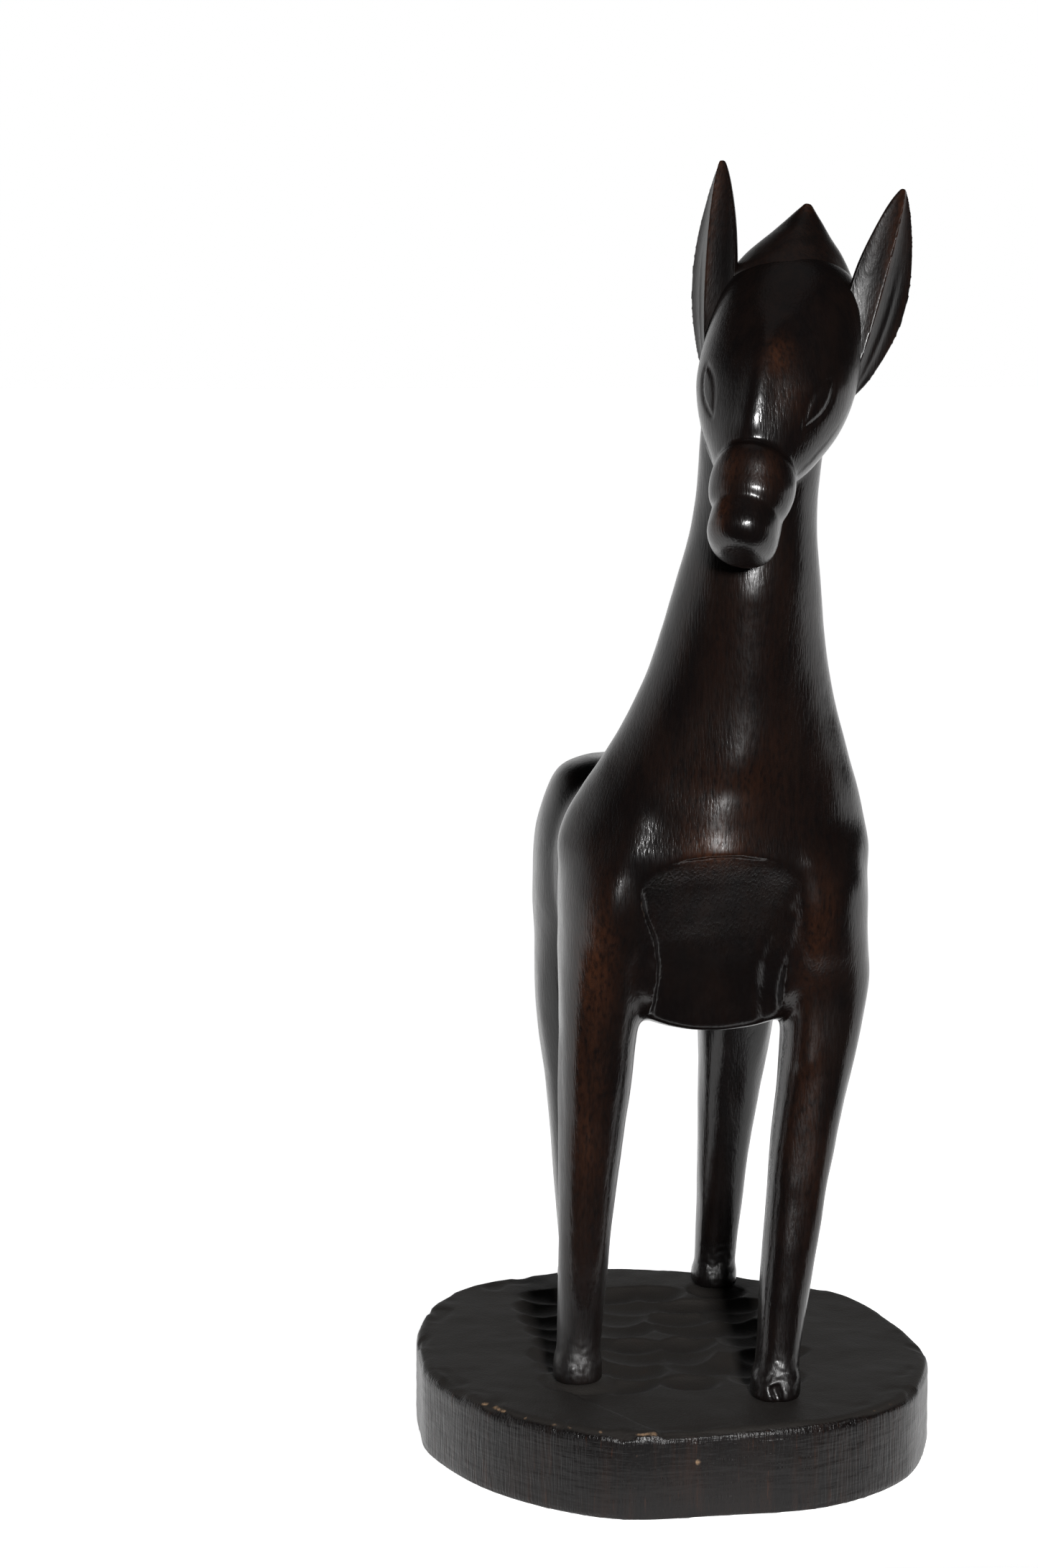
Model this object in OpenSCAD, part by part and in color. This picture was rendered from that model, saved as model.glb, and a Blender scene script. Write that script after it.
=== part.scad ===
// Carved wooden giraffe standing on an oval plinth.
// Millimetres, +Z up, the statue looks along -Y and its left side is +X.
// Origin: middle of the plinth's underside.
// The trunk, neck, head and legs are one carved block. The ears, the crest and the plinth
// are separate pieces, and round pegs hold them all together.

/* [Plinth] */
// How far the plinth reaches past the shoulders on each side
base_side = 23.5; // [18:0.5:34]
// How far the plinth reaches past the trunk's length at each end
base_end = 28.5; // [24:0.5:40]
// Thickness of the plinth
base_t = 19.2; // [15:0.1:30]
// Worn bevel round the plinth's top edge
base_edge = 1.6; // [0.5:0.1:3]
// Small bevel round the plinth's underside
base_foot_edge = 0.8; // [0.3:0.1:2]
// Radius of the gouge that cut the top
gouge_r = 16; // [10:1:24]
// Depth of each gouge cut
gouge_depth = 0.9; // [0.3:0.1:2]
// Distance between gouge cuts in a row
gouge_pitch = 11; // [9:0.5:16]

/* [Trunk] */
// Height of the belly above the plinth
belly_clear = 76.5; // [55:0.5:100]
// Height of the barrel between belly and back
barrel_h = 51.5; // [45:0.5:75]
// Width of the barrel, which is cut back behind the shoulders
barrel_w = 53; // [44:1:70]
// Width across the shoulders
shoulder_w = 67; // [56:1:84]
// Width across the haunches
haunch_w = 58; // [50:1:78]
// Distance from the shoulders back to the haunches
trunk_l = 66; // [55:1:90]
// Sideways place of the shoulders on the plinth
shoulder_x = 5.5; // [0:0.5:10]
// Sideways place of the haunches on the plinth
haunch_x = 1.5; // [0:0.5:8]
// Place of the trunk's middle along the plinth
trunk_y = 6; // [2:0.5:9]
// Depth of the flat cut between the front legs
chest_cut = 7; // [3:0.5:10]

/* [Neck] */
// Height of the neck from the back to the middle of the head
neck_h = 89; // [70:1:130]
// Width of the neck just under the head
neck_w = 25; // [20:0.5:34]
// How far the neck leans forward over its height
neck_lean = 17; // [8:1:26]
// How far the neck sways to the statue's left over its height
neck_sway = 8; // [0:1:12]
// Height of the mane ridge on the nape
mane_h = 2.2; // [1:0.1:4]

/* [Head] */
// Width of the head across the temples
head_w = 32.5; // [26:0.5:42]
// Depth of the head from forehead to throat
head_d = 31; // [26:0.5:40]
// Length of the skull from the poll to the muzzle
skull_l = 54; // [46:1:66]
// Width of the upper, raised ring of the muzzle
muzzle_w = 17; // [14:0.5:22]
// Length of the upper ring of the muzzle
muzzle_l = 11; // [9:0.5:16]
// Width of the lips
lip_w = 14; // [11:0.5:18]
// Length of the lips
lip_l = 13; // [11:0.5:18]
// How far the muzzle points forward from straight down
head_tilt = 33; // [15:1:50]
// How far the head leans to the statue's left
head_roll = 6.5; // [0:0.5:15]
// How far the face turns to the statue's right
head_turn = 20; // [0:1:35]

/* [Ears] */
// Length of the left ear
left_ear_l = 45; // [38:1:56]
// Length of the right ear
right_ear_l = 47; // [38:1:56]
// Width of an ear
ear_w = 15; // [12:0.5:20]
// Thickness of an ear at its middle ridge
ear_t = 6; // [5:0.2:8]
// How far an ear is pitched forward from the line of the head
ear_lean = 20; // [5:1:33]
// How far the ears lean outward
ear_splay = 7; // [0:1:15]
// How far an ear's hollow turns outward
ear_turn = 42; // [20:1:60]

/* [Crest] */
// Height of the crest above the poll
crest_h = 12; // [8:0.5:18]
// Width of the crest at its root
crest_w = 25; // [18:0.5:28]
// Depth of the crest at its root
crest_d = 18; // [12:0.5:22]

/* [Legs] */
// Width of a leg at the ankle
ankle_w = 9.6; // [8:0.2:14]
// Width of a leg where it leaves the body
thigh_w = 18; // [14:0.5:24]
// Distance between the two front feet
front_stance = 41; // [34:0.5:48]
// Distance between the two hind feet
hind_stance = 32; // [28:0.5:40]
// How far the left front foot stands ahead of the right one
front_step = 15; // [0:1:18]
// How far the right hind foot stands behind the left one
hind_step = 2; // [0:0.5:8]
// Depth of the notch in the front of each hoof
hoof_notch = 1.4; // [0.5:0.1:2.5]

/* [Pegs] */
// Diameter of the pegs between the feet and the plinth
foot_peg_d = 4.5; // [3:0.1:6]
// Length of the pegs between the feet and the plinth
foot_peg_l = 24; // [14:1:28]
// Diameter of the pegs in the ears and the crest
top_peg_d = 2.4; // [1.8:0.1:2.8]
// Length of the pegs in the ears
ear_peg_l = 12; // [8:1:16]
// Length of the peg in the crest
crest_peg_l = 14; // [10:1:20]
// Radial gap that the glue fills round a peg
glue_gap = 0.05; // [0.02:0.01:0.2]

/* [Hidden] */

// Sides of a carved section, and sections between two chosen ones
sides = 22;
steps = 3;
peg_fn = 48;

// The plinth follows the statue that stands on it
base_w = shoulder_w + 2 * base_side;
base_d = trunk_l + 2 * base_end;

// Heights and places that follow from the driving sizes
belly_z = base_t + belly_clear;
barrel_z = belly_z + barrel_h / 2;
back_z = belly_z + barrel_h;
shoulder_y = trunk_y - trunk_l / 2;
haunch_y = trunk_y + trunk_l / 2;

// Half the length of the chest from its front to the withers
chest_r = 20.5;
// Corner roundness of the sections: 1 is an ellipse, less is squarer
round_ring = 1;
square_ring = 0.82;

// How far the middle of each pair of feet stands from under the shoulders or the haunches
front_shift = [-8, -4];
hind_shift = [-1, 8];
foot_fl = foot_at(shoulder_x, shoulder_y, front_shift, front_stance / 2, -front_step / 2);
foot_fr = foot_at(shoulder_x, shoulder_y, front_shift, -front_stance / 2, front_step / 2);
foot_hl = foot_at(haunch_x, haunch_y, hind_shift, hind_stance / 2, -hind_step / 2);
foot_hr = foot_at(haunch_x, haunch_y, hind_shift, -hind_stance / 2, hind_step / 2);

// The head's own frame sits this far from the neck's top
head_shift = [1.5, -4];
head_at = [
    shoulder_x + neck_sway + head_shift[0],
    shoulder_y - neck_lean + head_shift[1],
    back_z + neck_h
];
head_angles = [-head_tilt, head_roll, -head_turn];
poll_z = skull_l * 0.48;

// The muzzle was carved a little to the left of the face's middle, and its parts run together
muzzle_x = 0.8;
muzzle_y = -2;
lips_y = -0.5;
lips_sink = 3.2;
muzzle_z = -skull_l * 0.42 - muzzle_l / 2;
lips_z = muzzle_z - (muzzle_l + lip_l) / 2 + lips_sink;

// Eyes: half width, how far they stand out, half height, turn from the face's middle, place
eye_size = [2.2, 1.6, 4.2];
eye_angle = 55;
eye_z = -11;

// Where the ears' lower points and their pegs meet the skull
ear_root = [head_w / 2 - 2.5, 3, -3];
ear_peg_at = [4, 0.7, 18];

// Where the crest's root meets the skull
crest_at = [-1.2, -1, poll_z - 4];
crest_lean = 14;
crest_front_slope = 24;
crest_peg_top = crest_h * 0.5;

// How far the rump reaches behind the haunches, and where the tail lies on it
rump_r = 19;
tail_w = 2.6;

// The cut panel's top edge and its waist, and how far it stands off the shoulders' middle
panel_top_z = barrel_z + 16;
panel_waist_z = belly_z + 17;
panel_x = 1;

// The hind legs leave the body this far below the belly, the front legs this far above it
hind_top_drop = 8;
front_top_rise = 8;

// A cut that runs past a face by this much leaves no skin
past = 1;

function foot_at(x, y, shift, across, along) = [x + shift[0] + across, y + shift[1] + along];

function blend(a, b, t) = a + (b - a) * t;

// Catmull-Rom curve through four stations
function curve(a, b, c, d, t) =
    0.5 * (2 * b + (c - a) * t + (2 * a - 5 * b + 4 * c - d) * t * t
        + (3 * b - a - 3 * c + d) * t * t * t);

// Every station, with smooth ones between
function fill(st) = [
    for (i = [0 : len(st) - 2], k = [0 : steps - 1])
        curve(st[max(i - 1, 0)], st[i], st[i + 1], st[min(i + 2, len(st) - 1)], k / steps),
    st[len(st) - 1]
];

function soft(v, e) = sign(v) * pow(abs(v), e);

// One closed section: a station is [x, y, z, half width, half depth, roundness]
function section(s, upright) = [
    for (i = [0 : sides - 1])
        let (
            a = 360 * i / sides,
            u = s[3] * soft(cos(a), s[5]),
            v = s[4] * soft(sin(a), s[5])
        )
        upright ? [s[0] + u, s[1], s[2] + v] : [s[0] + u, s[1] + v, s[2]]
];

// A solid skin over sections with n points each
module skin(rings) {
    n = len(rings[0]);
    m = len(rings);
    points = [for (r = rings) each r];
    walls = [
        for (j = [0 : m - 2], i = [0 : n - 1])
            let (a = j * n + i, b = j * n + (i + 1) % n)
            each [[a, a + n, b + n], [a, b + n, b]]
    ];
    first = [for (i = [0 : n - 1]) i];
    last = [for (i = [n - 1 : -1 : 0]) (m - 1) * n + i];
    polyhedron(points, concat([first, last], walls));
}

// A carved mass through chosen stations
module carve(stations, upright = false) {
    skin([for (s = fill(stations)) section(s, upright)]);
}

// A ball with three half sizes and flat ends too small to see
module ball(a, b, c) {
    skin([
        for (t = [-80 : 20 : 80])
            section([0, 0, c * sin(t), a * cos(t), b * cos(t), round_ring], false)
    ]);
}

module place_head() {
    translate(head_at) rotate(head_angles) children();
}

// The ear stands on its lower point, its hollow looking along -Y
module place_ear(side) {
    place_head()
        translate([side * ear_root[0], ear_root[1], ear_root[2]])
            rotate([ear_lean, side * ear_splay, 0])
                rotate([0, 0, side * ear_turn])
                children();
}

module place_crest() {
    place_head()
        translate(crest_at)
            rotate([crest_lean, 0, 0])
                children();
}

// ---- plinth ----

// Hand-cut oval, read round from the statue's right side by way of its tail
oval_points = [
    [-57, -6], [-56, 19], [-46.5, 45], [-22, 59], [-4, 61.5], [13, 57], [40, 42], [51, 26],
    [57, -4], [55.5, -21], [46, -43], [27, -57.5], [2, -61], [-17, -61.5], [-33, -53], [-46, -39],
    [-55, -20]
];
oval_n = len(oval_points);
raw_outline = [
    for (i = [oval_n - 1 : -1 : 0], k = [3 : -1 : 0])
        curve(
            oval_points[(i + oval_n - 1) % oval_n], oval_points[i],
            oval_points[(i + 1) % oval_n], oval_points[(i + 2) % oval_n], k / 4
        )
];
outline_lo = [min([for (p = raw_outline) p[0]]), min([for (p = raw_outline) p[1]])];
outline_hi = [max([for (p = raw_outline) p[0]]), max([for (p = raw_outline) p[1]])];

// The oval at its true size, centred on the origin and drawn in by an inset
function plinth_ring(z, inset) = [
    for (p = raw_outline)
        [
            ((p[0] - outline_lo[0]) / (outline_hi[0] - outline_lo[0]) - 0.5) * (base_w - 2 * inset),
            ((p[1] - outline_lo[1]) / (outline_hi[1] - outline_lo[1]) - 0.5) * (base_d - 2 * inset),
            z
        ]
];

// Rows of gouge cuts lie between the front and the hind feet
gouge_start = 14;
gouge_rows = floor((trunk_l - gouge_start / 2) / gouge_pitch);
gouge_stretch = 1.15;

module gouges() {
    for (row = [0 : gouge_rows - 1], col = [-1 : 1])
        translate([
            (col + (row % 2) / 2 - 0.25) * gouge_pitch * gouge_stretch,
            shoulder_y + gouge_start + row * gouge_pitch,
            base_t + gouge_r - gouge_depth
        ])
            sphere(gouge_r, $fn = 64);
}

module foot_bores() {
    bore_l = foot_peg_l + 2 * past;
    for (f = [foot_fl, foot_fr, foot_hl, foot_hr])
        translate([f[0], f[1], base_t - bore_l / 2])
            cylinder(d = foot_peg_d + 2 * glue_gap, h = bore_l, $fn = peg_fn);
}

module base() {
    color([0.13, 0.09, 0.08])
        difference() {
            skin([
                plinth_ring(0, base_foot_edge),
                plinth_ring(base_foot_edge, 0),
                plinth_ring(base_t - base_edge, 0),
                plinth_ring(base_t, base_edge)
            ]);
            gouges();
            foot_bores();
        }
}

// ---- the carved block ----

module trunk() {
    mid_x = (shoulder_x + haunch_x) / 2;
    w = barrel_w / 2;
    h = barrel_h / 2;
    carve([
        [haunch_x, haunch_y + rump_r, barrel_z + 4, w * 0.3, h * 0.4, square_ring],
        [haunch_x, haunch_y + rump_r - 4, barrel_z + 4, w * 0.72, h * 0.78, square_ring],
        [haunch_x, haunch_y, barrel_z + 3, w * 0.98, h * 0.97, square_ring],
        [mid_x, haunch_y - 22, barrel_z, w, h, square_ring],
        [mid_x, shoulder_y + 14, barrel_z, w, h, square_ring],
        [shoulder_x, shoulder_y - 4, barrel_z + 1, w * 0.95, h * 0.98, square_ring],
        [shoulder_x, shoulder_y - 11, barrel_z + 2, w * 0.8, h * 0.86, square_ring],
        [shoulder_x, shoulder_y - 14, barrel_z + 3, w * 0.5, h * 0.6, square_ring]
    ], upright = true);
}

// A neck station at t from the back (0) to the head (1), k of the way out to the shoulder's width
function neck_at(t, k) = [
    shoulder_x + neck_sway * pow(max(t, 0), 0.55),
    shoulder_y - neck_lean * t,
    back_z + neck_h * t,
    blend(neck_w, shoulder_w, k) / 2,
    blend(neck_w / 2, chest_r, k),
    round_ring
];

module neck() {
    carve([
        [shoulder_x, shoulder_y + 2, belly_z + 4, shoulder_w * 0.2, chest_r * 0.4, round_ring],
        [shoulder_x, shoulder_y + 1, barrel_z - 12, shoulder_w * 0.34, chest_r * 0.62, round_ring],
        [shoulder_x, shoulder_y, barrel_z + 3, shoulder_w * 0.46, chest_r * 0.88, round_ring],
        [shoulder_x, shoulder_y, barrel_z + 14, shoulder_w * 0.5, chest_r, round_ring],
        neck_at(-0.06, 0.95),
        neck_at(0.03, 0.8),
        neck_at(0.14, 0.58),
        neck_at(0.3, 0.32),
        neck_at(0.54, 0.1),
        neck_at(0.7, 0.01),
        neck_at(0.86, 0.02),
        neck_at(0.98, 0.02)
    ]);
}

// A thin ridge that runs from the withers up the nape to the crest
module mane() {
    carve([
        for (t = [0, 0.25, 0.5, 0.75, 1])
            let (s = neck_at(t, [0.72, 0.38, 0.1, 0, 0][t * 4]))
            [s[0], s[1] + s[4] - 1, s[2], 1.6 + 1.2 * (1 - t), 1 + mane_h, round_ring]
    ]);
}

// A leg station: t runs from the sole (0) to the body (1)
function leg_at(foot, top, t, a, b) = [
    blend(foot[0], top[0], pow(t, 1.2)),
    blend(foot[1], top[1], t),
    blend(base_t, top[2], t),
    a,
    b,
    square_ring
];

// A leg from its hoof up to the body, then the raised plate that it grows into
module leg(foot, top, plate) {
    a = ankle_w / 2;
    w = thigh_w / 2;
    difference() {
        carve(concat([
            leg_at(foot, top, 0, a * 1.12, a * 1.4),
            leg_at(foot, top, 0.05, a * 1.1, a * 1.35),
            leg_at(foot, top, 0.1, a, a * 1.15),
            leg_at(foot, top, 0.35, blend(a, w, 0.18), blend(a, w, 0.4)),
            leg_at(foot, top, 0.65, blend(a, w, 0.5), blend(a, w, 0.75)),
            leg_at(foot, top, 1, w, w * 1.25)
        ], plate));
        translate([foot[0], foot[1] - a * 1.4, base_t + 1.5])
            rotate([0, 45, 0])
                cube([hoof_notch, hoof_notch * 2, hoof_notch], center = true);
    }
}

// The shoulder: the front leg's plate, flush with the width across the shoulders
module front_leg(foot, side) {
    x = shoulder_x + side * shoulder_w / 2;
    top = [x - side * (thigh_w / 2 + 0.5), shoulder_y, belly_z + front_top_rise];
    leg(foot, top, [
        [x - side * 12, shoulder_y + 1, belly_z + 22, 11.5, 16, square_ring],
        [x - side * 14, shoulder_y + 2, barrel_z + 8, 13.5, 19, square_ring],
        [x - side * 15, shoulder_y + 3, barrel_z + 20, 12, 15, square_ring],
        [x - side * 16, shoulder_y + 3, back_z - 1, 8, 8, square_ring]
    ]);
}

// The haunch: the hind leg's plate, flush with the width across the haunches
module hind_leg(foot, side) {
    x = haunch_x + side * haunch_w / 2;
    top = [x - side * (thigh_w / 2 + 1), haunch_y + 2, belly_z - hind_top_drop];
    leg(foot, top, [
        [x - side * 11.5, haunch_y + 1, belly_z + 9, 11, 14, square_ring],
        [x - side * 14, haunch_y, barrel_z - 4, 14, 18, square_ring],
        [x - side * 14.5, haunch_y + 1, barrel_z + 10, 13.5, 17.5, square_ring],
        [x - side * 16, haunch_y + 2, barrel_z + 22, 10.5, 13, square_ring],
        [x - side * 18, haunch_y + 2, back_z, 5, 6, square_ring]
    ]);
}

// The shield-shaped panel cut back under the chest, and the space below it between the legs
module chest_panel() {
    half = shoulder_w / 2 - thigh_w;
    translate([shoulder_x + panel_x, shoulder_y - chest_r + chest_cut, 0])
        rotate([90, 0, 0])
            linear_extrude(height = 4 * chest_cut)
                polygon([
                    [-half, panel_top_z], [half, panel_top_z], [half * 0.95, panel_top_z - 6],
                    [half * 0.45, panel_waist_z], [half * 0.8, belly_z - 6],
                    [-half * 0.8, belly_z - 6], [-half * 0.65, panel_waist_z],
                    [-half * 0.95, panel_top_z - 6]
                ]);
}

// A tail carved in relief down the middle of the rump
module tail() {
    carve([
        [haunch_x, haunch_y + rump_r - 3, belly_z + 2, tail_w * 0.6, tail_w * 0.9, round_ring],
        [haunch_x, haunch_y + rump_r + 0.5, belly_z + 12, tail_w, tail_w + 0.4, round_ring],
        [haunch_x, haunch_y + rump_r + 1, barrel_z + 2, tail_w * 0.8, tail_w, round_ring],
        [haunch_x, haunch_y + rump_r - 1.5, barrel_z + 14, tail_w, tail_w + 0.4, round_ring],
        [haunch_x, haunch_y + rump_r - 8, back_z - 4, tail_w + 0.4, tail_w + 0.4, round_ring]
    ]);
}

module skull() {
    w = head_w / 2;
    d = head_d / 2;
    l = skull_l;
    carve([
        [0, 0, -l * 0.52, w * 0.44, d * 0.48, round_ring],
        [0, 0, -l * 0.45, w * 0.56, d * 0.6, round_ring],
        [0, 0, -l * 0.32, w * 0.81, d * 0.82, round_ring],
        [0, 0, -l * 0.15, w * 0.97, d * 0.97, round_ring],
        [0, 0, l * 0.02, w, d, round_ring],
        [0, 0, l * 0.2, w * 0.98, d * 0.96, round_ring],
        [0, 0, l * 0.33, w * 0.89, d * 0.85, round_ring],
        [0, 0, l * 0.42, w * 0.7, d * 0.66, round_ring],
        [0, 0, poll_z, w * 0.34, d * 0.34, round_ring]
    ]);
}

module muzzle() {
    translate([muzzle_x, muzzle_y, muzzle_z])
        ball(muzzle_w / 2, muzzle_w / 2 + 1, muzzle_l / 2);
    translate([muzzle_x, lips_y, lips_z])
        ball(lip_w / 2, lip_w / 2 + 2, lip_l / 2);
}

module eye(side) {
    rotate([0, 0, side * eye_angle])
        translate([0, 1 - head_d / 2, eye_z])
            rotate([4, side * 14, 0])
                ball(eye_size[0], eye_size[1], eye_size[2]);
}

// The peg's axis runs across the ear's root into the skull
module place_ear_peg(side) {
    place_ear(side)
        translate([side * ear_peg_at[0], ear_peg_at[1], ear_peg_at[2]])
            rotate([0, -side * 90, 0])
                children();
}

module ear_bore(side) {
    place_ear_peg(side)
        translate([0, 0, -past / 2])
            cylinder(d = top_peg_d + 2 * glue_gap, h = ear_peg_l + past, $fn = peg_fn);
}

module crest_bore() {
    bore_l = crest_peg_l + past;
    place_crest()
        translate([0, 0, crest_peg_top + past / 2 - bore_l])
            cylinder(d = top_peg_d + 2 * glue_gap, h = bore_l, $fn = peg_fn);
}

module figure() {
    color([0.16, 0.10, 0.08])
        difference() {
            union() {
                trunk();
                neck();
                mane();
                tail();
                front_leg(foot_fl, 1);
                front_leg(foot_fr, -1);
                hind_leg(foot_hl, 1);
                hind_leg(foot_hr, -1);
                place_head() {
                    skull();
                    muzzle();
                    eye(1);
                    eye(-1);
                }
            }
            chest_panel();
            foot_bores();
            ear_bore(1);
            ear_bore(-1);
            crest_bore();
        }
}

// ---- ears and crest ----

// Half the ear's width at a height from 0 to 1
function leaf(t) = ear_w / 2 * pow(sin(180 * pow(t, 0.95)), 0.8) + 0.5;

// One section of an ear: ridged and hollowed in front, rounded behind
function ear_ring(t, length) = let (w = leaf(t), d = blend(0.5, ear_t / 2, pow(sin(180 * t), 0.5))) [
    for (i = [0 : 19])
        let (a = 360 * i / 20, u = cos(a))
        [
            w * u,
            sin(a) >= 0 ? d * sin(a) : -d * pow(1 - abs(u), 1.4),
            length * t
        ]
];

module ear(side, length) {
    levels = [0, 0.06, 0.15, 0.3, 0.45, 0.6, 0.75, 0.88, 0.95, 1];
    difference() {
        place_ear(side) skin([for (t = levels) ear_ring(t, length)]);
        place_head() skull();
        ear_bore(side);
    }
}

module left_ear() {
    color([0.18, 0.12, 0.10]) ear(1, left_ear_l);
}

module right_ear() {
    color([0.18, 0.12, 0.10]) ear(-1, right_ear_l);
}

// A cone with a hollow flare and a flat front, its root sunk in the skull
module crest_blank() {
    w = crest_w / 2;
    d = crest_d / 2;
    h = crest_h + 4;
    difference() {
        carve([
            [0, 0, -5, w * 0.7, d * 0.7, round_ring],
            [0, 0, -2, w * 0.95, d * 0.95, round_ring],
            [0, 0, 0, w, d, round_ring],
            [0, 0, h * 0.3, w * 0.78, d * 0.8, round_ring],
            [0, 0, h * 0.65, w * 0.42, d * 0.46, round_ring],
            [0, 0, h, 0.8, 0.9, round_ring]
        ]);
        translate([0, -d * 0.75, 0])
            rotate([-crest_front_slope, 0, 0])
                translate([-w, -2 * d, -h])
                    cube([2 * w, 2 * d, 3 * h]);
    }
}

module crest() {
    color([0.17, 0.11, 0.09])
        difference() {
            place_crest() crest_blank();
            place_head() skull();
            crest_bore();
        }
}

// ---- pegs ----

module foot_peg(foot) {
    color([0.45, 0.30, 0.18])
        translate([foot[0], foot[1], base_t - foot_peg_l / 2])
            cylinder(d = foot_peg_d, h = foot_peg_l, $fn = peg_fn);
}

module ear_peg(side) {
    color([0.45, 0.30, 0.18])
        place_ear_peg(side)
            cylinder(d = top_peg_d, h = ear_peg_l, $fn = peg_fn);
}

module front_left_peg() {
    foot_peg(foot_fl);
}

module front_right_peg() {
    foot_peg(foot_fr);
}

module hind_left_peg() {
    foot_peg(foot_hl);
}

module hind_right_peg() {
    foot_peg(foot_hr);
}

module left_ear_peg() {
    ear_peg(1);
}

module right_ear_peg() {
    ear_peg(-1);
}

module crest_peg() {
    color([0.45, 0.30, 0.18])
        place_crest()
            translate([0, 0, crest_peg_top - crest_peg_l])
                cylinder(d = top_peg_d, h = crest_peg_l, $fn = peg_fn);
}

base();
figure();
left_ear();
right_ear();
crest();
left_ear_peg();
right_ear_peg();
crest_peg();
front_left_peg();
front_right_peg();
hind_left_peg();
hind_right_peg();
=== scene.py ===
import math

import bmesh
import bpy
import numpy as np
from mathutils import Matrix, Vector, noise


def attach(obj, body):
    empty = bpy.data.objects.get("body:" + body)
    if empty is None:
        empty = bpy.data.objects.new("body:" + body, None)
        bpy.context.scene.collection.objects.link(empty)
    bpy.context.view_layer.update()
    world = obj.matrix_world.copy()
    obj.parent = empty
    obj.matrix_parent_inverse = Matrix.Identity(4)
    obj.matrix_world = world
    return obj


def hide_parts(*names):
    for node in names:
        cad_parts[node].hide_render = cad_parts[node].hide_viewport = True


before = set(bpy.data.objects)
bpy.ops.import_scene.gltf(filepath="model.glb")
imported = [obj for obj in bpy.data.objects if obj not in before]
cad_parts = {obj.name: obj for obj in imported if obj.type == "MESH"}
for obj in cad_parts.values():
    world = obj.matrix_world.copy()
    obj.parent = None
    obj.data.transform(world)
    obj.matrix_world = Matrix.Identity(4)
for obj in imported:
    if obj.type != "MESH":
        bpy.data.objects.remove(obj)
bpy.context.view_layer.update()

# A carved wooden giraffe on an oval plinth. Shapes are worked out in millimetres and stored in metres.
MM = 0.001
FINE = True

# ---------------------------------------------------------------- camera, light, floor

# Metres, degrees and watts. A small strong light in front gives the crisp highlights; the sun only
# lifts the shadows. The surround is dark in front and above, so that the wax mirrors nothing there, and
# bright low behind and to one side. The floor glows like a lit backdrop, and its front edge lies just
# in front of the plinth, out of the camera's frame.
CAMERA_AT = (-0.09014, -0.71528, 0.24625)
CAMERA_TURN = (82.07, 0.0, -4.5)
LENS = 75.9
SENSOR = 36.0
CLIP = (0.01, 20)
FRONT_LIGHT_AT = (0.02, -1.0, 0.36)
FRONT_LIGHT_AIM = (0.0, -0.04, 0.15)
FRONT_LIGHT_SIDE = 0.09
FRONT_LIGHT_WATTS = 15
SUN_STRENGTH = 0.06
SUN_SPREAD = 50
SUN_HEIGHT = 2
SURROUND_AHEAD = (-0.42, 0.91, 0)
SURROUND_DARK, SURROUND_BRIGHT = 0.008, 0.85
FLOOR_SIDE, FLOOR_FRONT, FLOOR_BACK = 9, -0.09, 12
FLOOR_GLOW = 0.95


def set_camera():
    data = bpy.data.cameras.new("camera")
    data.sensor_width = SENSOR
    data.sensor_fit = "AUTO"
    data.lens = LENS
    data.clip_start, data.clip_end = CLIP
    camera = linked(data, "camera")
    camera.location = CAMERA_AT
    camera.rotation_euler = [math.radians(a) for a in CAMERA_TURN]
    bpy.context.scene.camera = camera


def set_lights():
    data = bpy.data.lights.new("front_light", "AREA")
    data.shape = "RECTANGLE"
    data.size = data.size_y = FRONT_LIGHT_SIDE
    data.energy = FRONT_LIGHT_WATTS
    lamp = linked(data, "front_light")
    lamp.location = FRONT_LIGHT_AT
    aim = Vector(FRONT_LIGHT_AIM) - Vector(FRONT_LIGHT_AT)
    lamp.rotation_euler = aim.to_track_quat("-Z", "Y").to_euler()
    sun = bpy.data.lights.new("overhead", "SUN")
    sun.energy, sun.angle = SUN_STRENGTH, math.radians(SUN_SPREAD)
    linked(sun, "overhead").location = (0, 0, SUN_HEIGHT)


def set_world():
    """White where the camera looks past the floor; to everything else the dark surround."""
    world = bpy.data.worlds.new("studio")
    bpy.context.scene.world = world
    sky = Finish(world, "Generated")
    ahead = sky.towards(SURROUND_AHEAD).upto(0.05, 0.75)
    low = 1 - sky.towards((0, 0, 1)).upto(0.15, 0.55)
    surround = SURROUND_DARK + ahead * low * SURROUND_BRIGHT
    seen = sky.node("ShaderNodeLightPath", out="Is Camera Ray")
    glow = {"Color": (1, 1, 1, 1), "Strength": surround * (1 - seen) + seen}
    sky.node("ShaderNodeOutputWorld", {"Surface": sky.node("ShaderNodeBackground", glow)})


def make_floor():
    near, far = FLOOR_FRONT, FLOOR_BACK
    corners = [(-FLOOR_SIDE, near, 0), (FLOOR_SIDE, near, 0), (FLOOR_SIDE, far, 0), (-FLOOR_SIDE, far, 0)]
    mesh = bpy.data.meshes.new("floor")
    mesh.from_pydata(corners, [], [(0, 1, 2, 3)])
    mesh.materials.append(floor_paint("floor_paint"))
    linked(mesh, "floor")


# ---------------------------------------------------------------- finishes


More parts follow.
